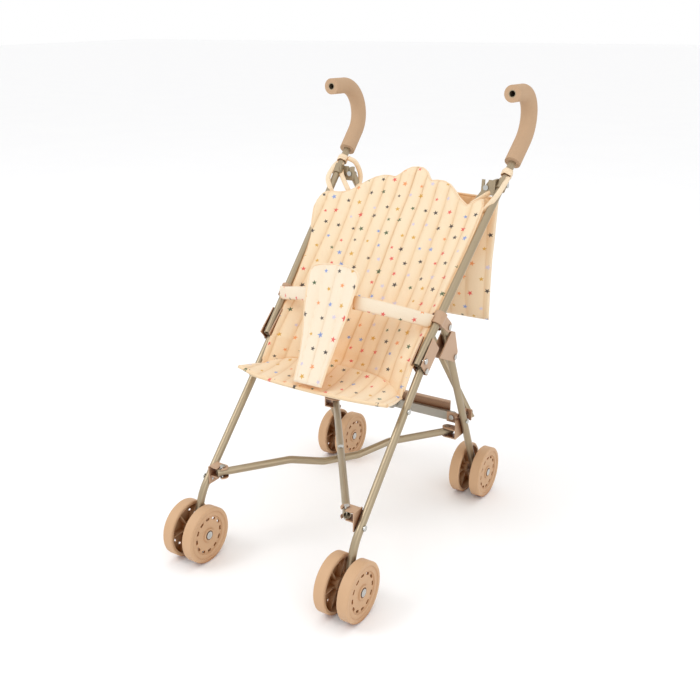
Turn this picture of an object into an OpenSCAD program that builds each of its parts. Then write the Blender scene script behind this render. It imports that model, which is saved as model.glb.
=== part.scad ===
// Folding doll stroller: two rigid side frames joined by a back X, a lower X and a jointed rear bar.
// Front is -Y, right is +X, Z is up, and the wheels stand on z = 0.

/* [Tubes] */
// Outer diameter of every frame tube
tube_d = 9.5; // [8:0.5:12]
// Wall thickness of every frame tube
tube_wall = 1; // [0.8:0.1:1.5]

/* [Handle] */
// Height of the handle tube's lower end
knee_z = 246.4; // [220:0.2:280]
// How far inside the leg's middle the handle tube's lower end stands
knee_inset = 1.1; // [0:0.1:3]
// Slope of the handle tube above level
handle_angle = 44.3; // [38:0.1:52]
// Outward lean of the handle tube
handle_lean = 4.2; // [0:0.1:7]
// Straight length of the handle tube below its hook
handle_len = 333.5; // [280:0.5:360]
// Radius of the handle's hook
hook_r = 36; // [28:1:45]
// Straight length at the end of the hook
hook_end_len = 30; // [15:1:45]
// Outer diameter of the foam grip
grip_d = 21; // [17:0.5:26]
// Length of foam on the straight part of the handle
grip_straight = 34.5; // [20:0.5:60]

/* [Legs and wheels] */
// Distance of the leg tubes from the middle plane
leg_x = 109; // [100:0.5:120]
// Slope of the front leg's upper part
front_leg_angle = 47.25; // [42:0.25:52]
// Slope of the front leg's foot
front_foot_angle = 72; // [60:1:80]
// Distance from the handle's lower end forward to the front axle
front_axle_reach = 152; // [130:1:175]
// Distance from the handle's lower end back to the rear axle
rear_axle_reach = 181; // [160:1:205]
// Wheel diameter
wheel_d = 70; // [56:1:84]
// Wheel width
wheel_w = 14.2; // [10:0.1:18]
// Distance of each wheel's middle from its leg's middle
wheel_offset = 15; // [13:0.5:20]
// Axle diameter
axle_d = 5; // [4:0.5:6]

/* [Braces] */
// How far inside the leg's middle the back X's pins stand
back_pin_inset = 5; // [4:0.5:8]
// Height of the back X's lower pins
back_pin_z = 126; // [115:1:140]
// Height of the back X between its lower and upper pins
back_rise = 299; // [260:1:310]
// Distance from the handle's lower end back to the back X's lower pins
back_pin_reach = 159; // [150:1:170]
// How far back the back X's upper pins lie behind the lower ones
back_lean = 33; // [25:1:40]
// How far inside the leg's middle the lower X's pins stand
lower_pin_inset = 20.3; // [18:0.1:26]
// Height of the lower X
lower_z = 107; // [102:0.5:110]
// Distance from the handle's lower end forward to the lower X's front pins
lower_front_reach = 121; // [110:1:130]
// Distance from the handle's lower end back to the lower X's rear pins
lower_rear_reach = 132; // [125:1:140]
// Height of the rear bar's middle line
bar_z = 124; // [122:0.5:128]
// Height of the rear bar's section
bar_h = 12; // [9:0.5:14]

/* [Fabric] */
// Gap between the seat's side and the leg's middle
fabric_inset = 12; // [12:1:24]
// Thickness of the fabric solids
fabric_t = 3; // [2:0.5:4]
// Height of the bag's bottom
bag_z = 240; // [220:2:280]
// Height of the bag's top edge
bag_top_z = 408; // [360:2:408]

/* [Fits] */
// Radial clearance of pins and tubes in their holes
fit = 0.05; // [0.03:0.01:0.1]
// Gap between flat faces that pass each other
face_gap = 0.35; // [0.3:0.05:1]
// Sheet thickness of the brackets
plate_t = 1.5; // [1.2:0.1:2]
// Diameter of the rivets through the tubes
rivet_d = 3; // [2.5:0.1:4]
// Diameter of the pins that braces turn on
pin_d = 4; // [3:0.1:5]

/* [Hidden] */
$fn = 48;
tube_r = tube_d / 2;
bore_r = tube_r - tube_wall;
wheel_r = wheel_d / 2;
axle_r = axle_d / 2;
rivet_r = rivet_d / 2;
pin_r = pin_d / 2;
head_h = 1.4;
head_r = 3.4;
tube_stub = 7;
// Each straight after a bend starts a little inside the bend, and is a little thinner there.
joint_lap = 0.7;
joint_step = 0.05;

// Places across the stroller all follow the legs.
knee_x = leg_x - knee_inset;
back_pin_x = leg_x - back_pin_inset;
lower_pin_x = leg_x - lower_pin_inset;
fabric_half_w = leg_x - fabric_inset;

// Side view points are [distance behind the handle's lower end, height].
hook_sweep = 180 - handle_angle;
handle_dir = [cos(handle_angle), sin(handle_angle)];
handle_down = [sin(handle_angle), -cos(handle_angle)];
function on_handle(s, d) = [0, knee_z] + s * handle_dir + d * handle_down;

hook_middle = on_handle(handle_len, -hook_r);
back_reach = hook_middle[0] + hook_r + grip_d / 2;
front_reach = front_axle_reach + wheel_r;
datum_y = (front_reach - back_reach) / 2;

knee_offset = 11.3;
knee_s = 0;
leg_knee = on_handle(knee_s, knee_offset);
front_axle = [-front_axle_reach, wheel_r];
rear_axle = [rear_axle_reach, wheel_r];
leg_dir = [cos(front_leg_angle), sin(front_leg_angle)];
foot_dir = [cos(front_foot_angle), sin(front_foot_angle)];
leg_span = leg_knee - front_axle;
leg_cross = leg_dir[0] * foot_dir[1] - leg_dir[1] * foot_dir[0];
leg_run = (leg_span[0] * foot_dir[1] - leg_span[1] * foot_dir[0]) / leg_cross;
foot_run = (leg_dir[0] * leg_span[1] - leg_dir[1] * leg_span[0]) / leg_cross;
foot_turn = front_foot_angle - front_leg_angle;
foot_bend_r = 60;
foot_tangent = foot_bend_r * tan(foot_turn / 2);
leg_top = 22;
function on_front_leg(t) = leg_knee - t * leg_dir;

rear_hinge_s = 67.3;
rear_hinge_d = 23.5;
rear_hinge = on_handle(rear_hinge_s, rear_hinge_d);
rear_span = rear_axle - rear_hinge;
rear_len = norm(rear_span);
rear_angle = atan2(rear_span[1], rear_span[0]);
function on_rear_leg(z) = [rear_hinge[0] + (rear_hinge[1] - z) / tan(-rear_angle), z];

// Brackets on the tubes.
collar_s0 = 56;
collar_len = 16;
collar_r = tube_r + 2.9;
ear_x = leg_x + 0.6;
ear_gap = tube_r + 0.75;
ear_r = 6.5;
knee_rise = 27.6;
knee_low = min(knee_x, leg_x) - tube_r - 0.15;
knee_high = max(knee_x + knee_rise * tan(handle_lean), leg_x) + tube_r + 0.15;
knee_mid_x = (knee_low + knee_high) / 2;
knee_gap = (knee_high - knee_low) / 2;
knee_rivet_s = 7;
channel_floor = tube_r + 0.3;
knee_outline = [[24, knee_rise], [39.5, 10.8], [31.7, 4], [10.3, -14.4], [-4.3, 1.8]];
gusset_outline = [[8.5, -8.5], [19.5, -11.5], [29.5, -40.5], [21.5, -51.5], [-20.5, -33.5]];
gusset_gap = tube_r + 0.3;
gusset_rivet_z = rear_hinge[1] - 45;
fabric_bolt_t = 53;
band_len = 14;
band_s0 = (back_pin_z + back_rise + 5.08 - knee_z) / sin(handle_angle) - band_len / 2;
band_r = tube_r + 1.9;
band_mid = on_handle(band_s0 + band_len / 2, 0);
band_x = knee_x + (band_mid[1] - knee_z) * tan(handle_lean);
arm_x = band_x - tube_r - plate_t - 0.4;

// Back X: local x is across, local y is up along the X, local z is forward.
back_pin_y = back_pin_reach;
back_tilt = atan(back_lean / back_rise);
back_h = norm([back_lean, back_rise]);
back_arm = norm([back_pin_x, back_h / 2]);
back_angle = atan2(back_h / 2, back_pin_x);
layer = tube_r + 0.45;
back_room = arm_x - plate_t - 0.5 - back_pin_x - tube_r * sin(back_angle);
back_top_over = min(12, back_room / cos(back_angle));
back_low_over = 8;
lug_gap = face_gap;
lug_t = 2;
lug_half = 7;
top_slot = pin_r + 0.6;
// Forward distance of each lug's rear face: the left braces' lower tube lies in the front layer.
front_lug = layer + tube_r + lug_gap;
rear_lug = -layer + tube_r + lug_gap;

// Lower X and the joints that hold it.
joint_in = leg_x - tube_r - face_gap;
fork_gap = tube_r + face_gap;
fork_r = 7;
lower_dx = 2 * lower_pin_x;
lower_dy = lower_front_reach + lower_rear_reach;
lower_len = norm([lower_dx, lower_dy]);
lower_plan = atan2(lower_dx, lower_dy);
lower_drop = tube_d + 1.5;
drop_angle = 14;
drop_bend = 30;
drop_flat = 40;
drop_slope = (lower_drop - 2 * drop_bend * (1 - cos(drop_angle))) / sin(drop_angle);
drop_reach = 2 * drop_bend * sin(drop_angle) + drop_slope * cos(drop_angle);
drop_end = lower_len / 2 - drop_flat / 2 - drop_reach;
cross_clear = 0.7;
slot_clear = 0.6;
front_bolt_t = (leg_knee[1] - 95.5) / leg_dir[1];
rear_bolt_z = bar_z + 1;

// Rear bar.
bar_t = 5.5;
bar_pin_x = leg_x - 19;
bar_left_y = 135.7;
bar_right_y = bar_left_y + bar_t + 0.5;
bar_rise = bar_h / 2;
lock_t = 5.5;
lock_rise = 18;
lock_x0 = 8;
lock_x1 = bar_pin_x - 8;
joint_low = lower_z - fork_gap - plate_t;
joint_high = back_pin_z + 8;

// Wheel.
hub_r = 7;
recess_r = 6;
recess_d = 2.2;
rim_t = 5.5;
web_t = 2.4;
web_in = 2.2;
step_r = wheel_r * 0.7;
slot_count = 12;
slot_r = wheel_r * 0.6;
slot_half_w = 1.5;
slot_half_l = 1.6;
rib_count = 6;
rib_t = 1.6;

// Fabric.
seat_side = [[-65.5, -31], [-5, -21.6], [174, 181], [171, 183.7], [-6.3, -18], [-65.5, -27.5]];
strap_angle = 62.2;
strap_len = 146;
waist_w = 16;
waist_x = 34;
waist_turn = 22;
waist_drop = 8;
waist_len = (fabric_half_w - 5.2 - waist_x) / (cos(waist_turn) * cos(waist_drop));

// Colours.
metal = [0.73, 0.67, 0.55];
tan_metal = [0.84, 0.7, 0.6];
silver = [0.78, 0.78, 0.76];
foam = [0.77, 0.64, 0.52];
wheel_colour = [0.82, 0.65, 0.51];
cloth = [0.98, 0.92, 0.84];

module side(s) {
  scale_x = s > 0 ? 0 : 1;
  mirror([scale_x, 0, 0]) translate([0, datum_y, 0]) children();
}

module at_point(p, x = 0) {
  translate([x, p[0], p[1]]) children();
}

// Local y runs up the handle tube and local z points forward and up from it.
module on_handle_frame() {
  translate([knee_x, 0, knee_z]) rotate([0, handle_lean, 0]) rotate([handle_angle, 0, 0]) children();
}

module rod(r, h) {
  rotate([-90, 0, 0]) cylinder(r = r, h = h);
}

module across(p, r, x0, x1) {
  translate([x0, p[0], p[1]]) rotate([0, 90, 0]) cylinder(r = r, h = x1 - x0);
}

module upright(p, r, z0, z1) {
  translate([p[0], p[1], z0]) cylinder(r = r, h = z1 - z0);
}

module side_slab(points, x0, x1) {
  translate([x0, 0, 0]) rotate([90, 0, 90]) linear_extrude(x1 - x0) polygon(points);
}

// A quarter-type bend that starts along local y and turns towards local z.
module bend(r, bend_radius, angle) {
  translate([0, 0, bend_radius]) rotate([0, 90, 0])
    rotate_extrude(angle = angle) translate([bend_radius, 0]) circle(r);
}

// Steps are [straight length, turn, bend radius]; a negative turn bends towards -z.
module tube_path(steps, r, i = 0) {
  if (i < len(steps)) {
    run = steps[i][0];
    turn = steps[i][1];
    radius = steps[i][2];
    flip = turn < 0 ? 1 : 0;
    lap = i > 0 ? joint_lap : 0;
    step = i > 0 ? joint_step : 0;
    translate([0, -lap, 0]) rod(r - step, run + lap);
    translate([0, run, 0]) {
      if (turn != 0) mirror([0, 0, flip]) bend(r, radius, abs(turn));
      translate([0, 0, radius * sign(turn)]) rotate([turn, 0, 0])
        translate([0, 0, -radius * sign(turn)]) tube_path(steps, r, i + 1);
    }
  }
}

module handle_steps(r, extra) {
  translate([0, -extra, 0]) tube_path([[handle_len + extra, hook_sweep, hook_r],
    [hook_end_len + extra, 0, 0]], r);
}

// A rivet across a tube: a shank with a head on its outer end.
module side_rivet(p, x_in, x_out) {
  across(p, rivet_r, x_in, x_out + 0.2);
  across(p, head_r, x_out + 0.1, x_out + head_h);
}

module handle_tube(s) {
  color(metal) side(s) difference() {
    on_handle_frame() difference() {
      handle_steps(tube_r, 0);
      handle_steps(bore_r, 1);
    }
    handle_rivet_holes();
  }
}

module handle_rivet_holes() {
  across(on_handle(knee_rivet_s, 0), rivet_r + fit, 80, 140);
  across(on_handle(band_s0 + band_len / 2, 0), rivet_r + fit, 80, 140);
}

module grip(s) {
  grip_r = grip_d / 2;
  color(foam) side(s) on_handle_frame() difference() {
    translate([0, handle_len - grip_straight, 0])
      tube_path([[grip_straight, hook_sweep, hook_r], [hook_end_len, 0, 0]], grip_r);
    translate([0, handle_len - grip_straight - 1, 0])
      tube_path([[grip_straight + 1, hook_sweep, hook_r], [hook_end_len + 1, 0, 0]], tube_r + fit);
  }
}

module collar_ears() {
  ear_start = on_handle(collar_s0 + collar_len / 2, 2);
  for (x = [ear_x - ear_gap - plate_t, ear_x + ear_gap]) {
    hull() {
      across(rear_hinge, ear_r, x, x + plate_t);
      across(ear_start, ear_r + 1, x, x + plate_t);
    }
  }
}

module collar(s) {
  color(tan_metal) side(s) difference() {
    union() {
      on_handle_frame() translate([0, collar_s0, 0]) rod(collar_r, collar_len);
      collar_ears();
    }
    on_handle_frame() translate([0, collar_s0 - 20, 0]) rod(tube_r + fit, collar_len + 40);
    across(rear_hinge, rivet_r + fit, 80, 140);
    translate([ear_x - ear_gap, rear_hinge[0], rear_hinge[1]])
      rotate([rear_angle, 0, 0]) translate([0, -tube_stub - 1, -tube_r - 1])
        cube([2 * ear_gap, 40, tube_d + 2]);
  }
}

module front_leg_path(r, extra) {
  at_point(on_front_leg(-leg_top), leg_x) rotate([180 + front_leg_angle, 0, 0])
    translate([0, -extra, 0]) tube_path([[leg_top + leg_run - foot_tangent + extra, foot_turn, foot_bend_r],
      [foot_run - foot_tangent + tube_stub + extra, 0, 0]], r);
}

module front_leg(s) {
  color(metal) side(s) difference() {
    front_leg_path(tube_r, 0);
    front_leg_path(bore_r, 1);
    across(front_axle, axle_r + fit, 80, 140);
    across(leg_knee, rivet_r + fit, 80, 140);
    across(on_front_leg(fabric_bolt_t), rivet_r + fit, leg_x, 140);
    across(on_front_leg(front_bolt_t), rivet_r + fit, 80, 140);
  }
}

module rear_leg_rod(r, extra) {
  at_point(rear_hinge, leg_x) rotate([rear_angle, 0, 0])
    translate([0, -tube_stub - extra, 0]) rod(r, rear_len + 2 * (tube_stub + extra));
}

module rear_leg(s) {
  color(metal) side(s) difference() {
    rear_leg_rod(tube_r, 0);
    rear_leg_rod(bore_r, 1);
    across(rear_axle, axle_r + fit, 80, 140);
    across(rear_hinge, rivet_r + fit, 80, 140);
    across(on_rear_leg(gusset_rivet_z), rivet_r + fit, 80, 140);
    across(on_rear_leg(rear_bolt_z), rivet_r + fit, 80, 140);
  }
}

module knee_bracket(s) {
  outline = [for (p = knee_outline) [p[0], p[1] + knee_z]];
  color(tan_metal) side(s) difference() {
    side_slab(outline, knee_mid_x - knee_gap - plate_t, knee_mid_x + knee_gap + plate_t);
    at_point(leg_knee, knee_mid_x - knee_gap) rotate([front_leg_angle, 0, 0])
      translate([0, -60, -channel_floor]) cube([2 * knee_gap, 120, 80]);
    across(on_handle(knee_rivet_s, 0), rivet_r + fit, 80, 140);
    across(leg_knee, rivet_r + fit, 80, 140);
  }
}

module gusset(s) {
  outline = [for (p = gusset_outline) p + rear_hinge];
  color(tan_metal) side(s) difference() {
    side_slab(outline, leg_x - gusset_gap - plate_t, leg_x + gusset_gap + plate_t);
    at_point(rear_hinge, leg_x - gusset_gap) rotate([rear_angle, 0, 0])
      translate([0, -20, -80]) cube([2 * gusset_gap, 120, 80 + channel_floor]);
    across(on_rear_leg(gusset_rivet_z), rivet_r + fit, 80, 140);
  }
}

// Two level plates that hold an end of the lower X, on a plate against the leg.
module fork(y) {
  for (z = [lower_z - fork_gap - plate_t, lower_z + fork_gap]) {
    difference() {
      union() {
        upright([lower_pin_x, y], fork_r, z, z + plate_t);
        translate([lower_pin_x, y - fork_r, z])
          cube([joint_in - lower_pin_x - plate_t / 2, 2 * fork_r, plate_t]);
      }
      upright([lower_pin_x, y], pin_r + fit, z - 1, z + plate_t + 1);
    }
  }
}

module front_clevis(s) {
  y = -lower_front_reach;
  bolt = on_front_leg(front_bolt_t);
  plate_low = bolt[1] - 5;
  plate_high = lower_z + fork_gap + plate_t;
  color(tan_metal) side(s) difference() {
    union() {
      fork(y);
      translate([joint_in - plate_t, y - 9, plate_low]) cube([plate_t, 18, plate_high - plate_low]);
    }
    across(bolt, rivet_r + fit, 80, 140);
    translate([lower_pin_x - pin_r - slot_clear, y - 40, plate_low])
      cube([2 * (pin_r + slot_clear), 40, 40]);
    upright([lower_pin_x, y], pin_r + slot_clear, plate_low, plate_high + 1);
  }
}

// The back X's frame: local x across, local y up, local z forward.
module back_frame() {
  translate([0, back_pin_y, back_pin_z]) rotate([90 - back_tilt, 0, 0]) children();
}

module rear_joint(s) {
  lug = s > 0 ? rear_lug : front_lug;
  bar_front = (s > 0 ? bar_right_y : bar_left_y) - face_gap;
  low_y = lower_rear_reach - fork_r;
  lug_y = back_pin_y - lug * cos(back_tilt);
  color(tan_metal) side(s) difference() {
    union() {
      fork(lower_rear_reach);
      translate([joint_in - plate_t, low_y, joint_low])
        cube([plate_t, lug_y - low_y - lug_t / 2, joint_high - joint_low]);
      translate([bar_pin_x - 7, bar_front - plate_t, bar_z - 7])
        cube([joint_in - bar_pin_x + 7 - plate_t / 2, plate_t, 14]);
      back_frame() translate([back_pin_x - lug_half, -8, lug])
        cube([2 * lug_half, 15, lug_t]);
    }
    translate([bar_pin_x, 0, bar_z]) rod(pin_r + fit, 300);
    back_frame() translate([back_pin_x, 0, -20]) cylinder(r = pin_r + fit, h = 60);
    back_frame() translate([back_pin_x, 0, lug + lug_t]) cylinder(r = head_r + 0.3, h = head_h + 0.5);
    across(on_rear_leg(rear_bolt_z), rivet_r + fit, 80, 140);
  }
}

module top_bracket(s) {
  lug = s > 0 ? front_lug : rear_lug;
  lug_y = back_pin_y + back_lean - lug * cos(back_tilt);
  arm_y0 = min(band_mid[0] - 5, lug_y - lug_t);
  arm_y1 = max(band_mid[0] + 3, lug_y - lug_t / 2);
  color(tan_metal) side(s) difference() {
    union() {
      on_handle_frame() translate([0, band_s0, 0]) rod(band_r, band_len);
      back_frame() translate([back_pin_x - 6.5, back_h - 9, lug])
        cube([arm_x - back_pin_x + 7, 19, lug_t]);
      translate([arm_x - plate_t, arm_y0, band_mid[1] - 9]) cube([2 * plate_t, arm_y1 - arm_y0, 16]);
    }
    on_handle_frame() translate([0, band_s0 - 20, 0]) rod(tube_r + fit, band_len + 40);
    across(band_mid, rivet_r + fit, 80, 140);
    back_frame() translate([back_pin_x, back_h, -20]) cylinder(r = top_slot, h = 60);
    back_frame() translate([back_pin_x - top_slot, back_h, -20]) cube([2 * top_slot, 40, 60]);
  }
}

// The fixed rivets and pins of one side frame.
module rivets(s) {
  lug = s > 0 ? rear_lug : front_lug;
  tube_z = s > 0 ? -layer : layer;
  bar_y = s > 0 ? bar_right_y : bar_left_y;
  knee_in = knee_mid_x - knee_gap - plate_t;
  knee_out = knee_mid_x + knee_gap + plate_t;
  gusset_out = leg_x + gusset_gap + plate_t;
  fork_top = lower_z + fork_gap + plate_t;
  fork_low = lower_z - fork_gap - plate_t;
  rear = [lower_pin_x, lower_rear_reach];
  color(silver) side(s) {
    side_rivet(on_handle(knee_rivet_s, 0), knee_in, knee_out);
    side_rivet(leg_knee, knee_in, knee_out);
    side_rivet(rear_hinge, ear_x - ear_gap - plate_t, ear_x + ear_gap + plate_t);
    side_rivet(on_rear_leg(gusset_rivet_z), leg_x - gusset_gap - plate_t, gusset_out);
    side_rivet(on_rear_leg(rear_bolt_z), joint_in - plate_t, leg_x + tube_r);
    side_rivet(on_front_leg(front_bolt_t), joint_in - plate_t, leg_x + tube_r);
    side_rivet(on_front_leg(fabric_bolt_t), leg_x + bore_r, leg_x + tube_r);
    side_rivet(band_mid, band_x - band_r + 1, band_x + band_r + 0.2);
    upright(rear, pin_r, fork_low - 0.2, fork_top + 0.2);
    upright(rear, head_r, fork_top + 0.1, fork_top + head_h);
    upright(rear, head_r, fork_low - head_h, fork_low - 0.1);
    translate([bar_pin_x, bar_y - face_gap - plate_t - head_h, bar_z])
      rod(head_r, head_h - 0.1);
    translate([bar_pin_x, bar_y - face_gap - plate_t - 0.2, bar_z])
      rod(pin_r, bar_t + face_gap + plate_t + 0.4);
    translate([bar_pin_x, bar_y + bar_t + 0.1, bar_z]) rod(head_r, head_h - 0.3);
    back_frame() translate([back_pin_x, 0, lug + lug_t + 0.1]) cylinder(r = head_r, h = head_h);
    back_frame() translate([back_pin_x, 0, tube_z - tube_r - 0.4])
      cylinder(r = pin_r, h = lug + lug_t + 0.2 - tube_z + tube_r + 0.4);
    back_frame() translate([back_pin_x, 0, tube_z - tube_r - head_h - 0.2])
      cylinder(r = head_r, h = head_h);
  }
}

module axle(s, p) {
  half = wheel_offset + wheel_w / 2 - recess_d;
  color(silver) side(s) {
    across(p, axle_r, leg_x - half - 0.3, leg_x + half + 0.3);
    across(p, recess_r - 1.2, leg_x - half - 1.9, leg_x - half - 0.2);
    across(p, recess_r - 1.2, leg_x + half + 0.2, leg_x + half + 1.9);
  }
}

// Half-section of a wheel: [radius, depth from its outer face].
module wheel_solid() {
  rotate_extrude() polygon([[axle_r + fit, recess_d], [recess_r, recess_d], [recess_r, 0.8],
    [recess_r + 2, 0.8], [recess_r + 3, web_in], [step_r - 1, web_in], [step_r, 1],
    [wheel_r - rim_t, 1], [wheel_r - rim_t + 1, 0], [wheel_r - 1.2, 0], [wheel_r, 1.2],
    [wheel_r, wheel_w - 1.2], [wheel_r - 1.2, wheel_w], [wheel_r - rim_t + 1.5, wheel_w],
    [wheel_r - rim_t + 1.5, web_in + web_t], [hub_r, web_in + web_t], [hub_r, wheel_w - 0.3],
    [axle_r + fit, wheel_w - 0.3]]);
  for (i = [0:rib_count - 1]) rotate([0, 0, (i + 0.5) * 360 / rib_count])
    translate([hub_r - 1, -rib_t / 2, web_in + web_t - 0.5])
      cube([wheel_r - rim_t + 2 - hub_r, rib_t, wheel_w - web_in - web_t - 3]);
}

module wheel_slots() {
  for (i = [0:slot_count - 1]) rotate([0, 0, i * 360 / slot_count]) translate([slot_r, 0, -1]) {
    translate([0, -slot_half_l, 0]) cylinder(r = slot_half_w, h = 8, $fn = 24);
    translate([0, slot_half_l, 0]) cylinder(r = slot_half_w, h = 8, $fn = 24);
    translate([-slot_half_w, -slot_half_l, 0]) cube([2 * slot_half_w, 2 * slot_half_l, 8]);
  }
}

// out = 1 for the wheel outside its leg, -1 for the one inside.
module wheel(s, p, out) {
  turn = out > 0 ? -90 : 90;
  color(wheel_colour) side(s) translate([leg_x + out * (wheel_offset + wheel_w / 2), p[0], p[1]])
    rotate([0, turn, 0]) difference() {
      wheel_solid();
      wheel_slots();
    }
}

module back_tube(mirrored) {
  z = mirrored > 0 ? -layer : layer;
  color(metal) translate([0, datum_y, 0]) back_frame() mirror([mirrored, 0, 0]) difference() {
    translate([-back_pin_x, 0, z]) rotate([0, 0, back_angle]) difference() {
      translate([-back_low_over, 0, 0]) rotate([0, 90, 0])
        cylinder(r = tube_r, h = 2 * back_arm + back_low_over + back_top_over);
      translate([-back_low_over - 1, 0, 0]) rotate([0, 90, 0])
        cylinder(r = bore_r, h = 2 * back_arm + back_low_over + back_top_over + 2);
    }
    for (p = [[-back_pin_x, 0], [0, back_h / 2], [back_pin_x, back_h]])
      translate([p[0], p[1], -30]) cylinder(r = pin_r + fit, h = 60);
  }
}

module back_rivet(x, y, z0, z1) {
  translate([x, y, z0 - 0.2]) cylinder(r = pin_r, h = z1 - z0 + 0.4);
  translate([x, y, z0 - head_h - 0.1]) cylinder(r = head_r, h = head_h);
  translate([x, y, z1 + 0.1]) cylinder(r = head_r, h = head_h);
}

module back_rivets_front() {
  color(silver) translate([0, datum_y, 0]) back_frame() {
    back_rivet(0, back_h / 2, -layer - tube_r - 0.2, layer + tube_r);
    back_rivet(back_pin_x, back_h, layer - tube_r, front_lug + lug_t + face_gap);
  }
}

module back_rivets_rear() {
  color(silver) translate([0, datum_y, 0]) back_frame()
    back_rivet(-back_pin_x, back_h, -layer - tube_r, rear_lug + lug_t + face_gap);
}

// The lower X's tubes start at their rear pins and run forward and across.
module lower_frame(from_x, turn) {
  translate([from_x, datum_y + lower_rear_reach, lower_z]) rotate([0, 0, 180 + turn]) children();
}

module lower_straight() {
  color(metal) lower_frame(-lower_pin_x, lower_plan) difference() {
    translate([0, -tube_stub, 0]) rod(tube_r, lower_len + 2 * tube_stub);
    translate([0, -tube_stub - 1, 0]) rod(bore_r, lower_len + 2 * tube_stub + 2);
    for (y = [0, lower_len / 2, lower_len]) upright([0, y], pin_r + fit, -20, 20);
  }
}

module bowed_path(r, extra) {
  translate([0, -tube_stub - extra, 0]) tube_path([[drop_end + tube_stub + extra, -drop_angle, drop_bend],
    [drop_slope, drop_angle, drop_bend], [drop_flat, drop_angle, drop_bend],
    [drop_slope, -drop_angle, drop_bend], [drop_end + tube_stub + extra, 0, 0]], r);
}

module lower_bowed() {
  color(metal) lower_frame(lower_pin_x, -lower_plan) difference() {
    bowed_path(tube_r, 0);
    bowed_path(bore_r, 1);
    upright([0, 0], pin_r + fit, -20, 20);
    upright([0, lower_len / 2], pin_r + cross_clear, -30, 20);
    upright([0, lower_len], pin_r + fit, -20, 20);
  }
}

module end_rivet(y) {
  half = fork_gap + plate_t + face_gap;
  upright([0, y], pin_r, -half - 0.2, half + 0.2);
  upright([0, y], head_r, half, half + head_h);
  upright([0, y], head_r, -half - head_h, -half);
}

module lower_rivets_straight() {
  low = -lower_drop - tube_r - face_gap;
  color(silver) lower_frame(-lower_pin_x, lower_plan) {
    end_rivet(lower_len);
    upright([0, lower_len / 2], pin_r, low - 0.2, tube_r + 0.2);
    upright([0, lower_len / 2], head_r, tube_r + 0.1, tube_r + head_h);
    upright([0, lower_len / 2], head_r, low - head_h, low);
  }
}

module lower_rivets_bowed() {
  color(silver) lower_frame(lower_pin_x, -lower_plan) end_rivet(lower_len);
}

module bar_half(y, end_x) {
  rotate_back = [-90, 0, 0];
  difference() {
    union() {
      translate([end_x, y, bar_z - bar_rise]) cube([bar_pin_x - end_x, bar_t, bar_h]);
      translate([bar_pin_x, y, bar_z]) rotate(rotate_back) cylinder(r = bar_rise, h = bar_t);
      translate([end_x, y, bar_z]) rotate(rotate_back) cylinder(r = bar_rise, h = bar_t);
    }
    translate([bar_pin_x, y - 1, bar_z]) rotate(rotate_back) cylinder(r = pin_r + fit, h = bar_t + 2);
    translate([0, y - 1, bar_z]) rotate(rotate_back) cylinder(r = pin_r + fit, h = bar_t + 2);
  }
}

module rear_bar_left() {
  color(metal) side(-1) bar_half(bar_left_y, 0);
}

module rear_bar_right() {
  color(metal) side(1) bar_half(bar_right_y, 0);
}

// The lock plate stands behind and above the right half of the rear bar.
module lock_plate() {
  y = bar_right_y + bar_t;
  color(tan_metal) side(1) difference() {
    translate([lock_x0, y, bar_z - bar_rise]) cube([lock_x1 - lock_x0, lock_t, bar_rise + lock_rise]);
    translate([lock_x0 - 1, y - 1, bar_z - bar_rise - 1])
      cube([lock_x1 - lock_x0 + 2, lock_t - plate_t + 1, bar_rise + lock_rise - plate_t + 1]);
  }
}

module bar_rivet_left() {
  color(silver) side(-1) {
    translate([0, bar_left_y - head_h, bar_z]) rod(head_r, head_h - 0.1);
    translate([0, bar_left_y - 0.2, bar_z]) rod(pin_r, bar_t);
  }
}

module bar_rivet_right() {
  color(silver) side(1) {
    translate([0, bar_right_y + 0.2, bar_z]) rod(pin_r, bar_t);
    translate([0, bar_right_y + bar_t + 0.1, bar_z]) rod(head_r, head_h - 0.1);
  }
}

module seat() {
  outline = [for (p = seat_side) [p[0], p[1] + knee_z]];
  color(cloth) side(1) side_slab(outline, -fabric_half_w, fabric_half_w);
}

// The panel that comes up from the front of the seat.
module front_panel() {
  color(cloth) side(1) translate([0, -68.5, knee_z - 26]) rotate([strap_angle, 0, 0])
    translate([0, 0, -fabric_t / 2]) linear_extrude(fabric_t)
      polygon([[-19, 2], [-24, 57], [-30, 87], [-33, 112], [-33, strap_len - 20], [-27, strap_len - 9],
        [-18, strap_len], [18, strap_len], [27, strap_len - 9], [33, strap_len - 20], [33, 112],
        [30, 87], [24, 57], [19, 2]]);
}

module waist_strap(s) {
  color(cloth) side(s) translate([waist_x, -19, knee_z + 60]) rotate([0, 0, waist_turn])
    rotate([0, waist_drop, 0]) cube([waist_len, fabric_t, waist_w]);
}

module bag() {
  back_y = 171.5;
  depth = 32;
  color(cloth) side(1) difference() {
    translate([-fabric_half_w - 6, back_y + 33, bag_z])
      cube([2 * fabric_half_w + 12, depth, bag_top_z - bag_z]);
    translate([-fabric_half_w - 6 + fabric_t, back_y + 33 + fabric_t, bag_z + fabric_t])
      cube([2 * (fabric_half_w + 6 - fabric_t), depth - 2 * fabric_t, bag_top_z - bag_z]);
  }
}

module tie(s) {
  tie_s = band_s0 + band_len + 7;
  color(cloth) side(s) on_handle_frame() translate([0, tie_s, 0]) difference() {
    rod(tube_r + 1.6, 8);
    translate([0, -1, 0]) rod(tube_r + fit, 10);
  }
}

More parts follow.
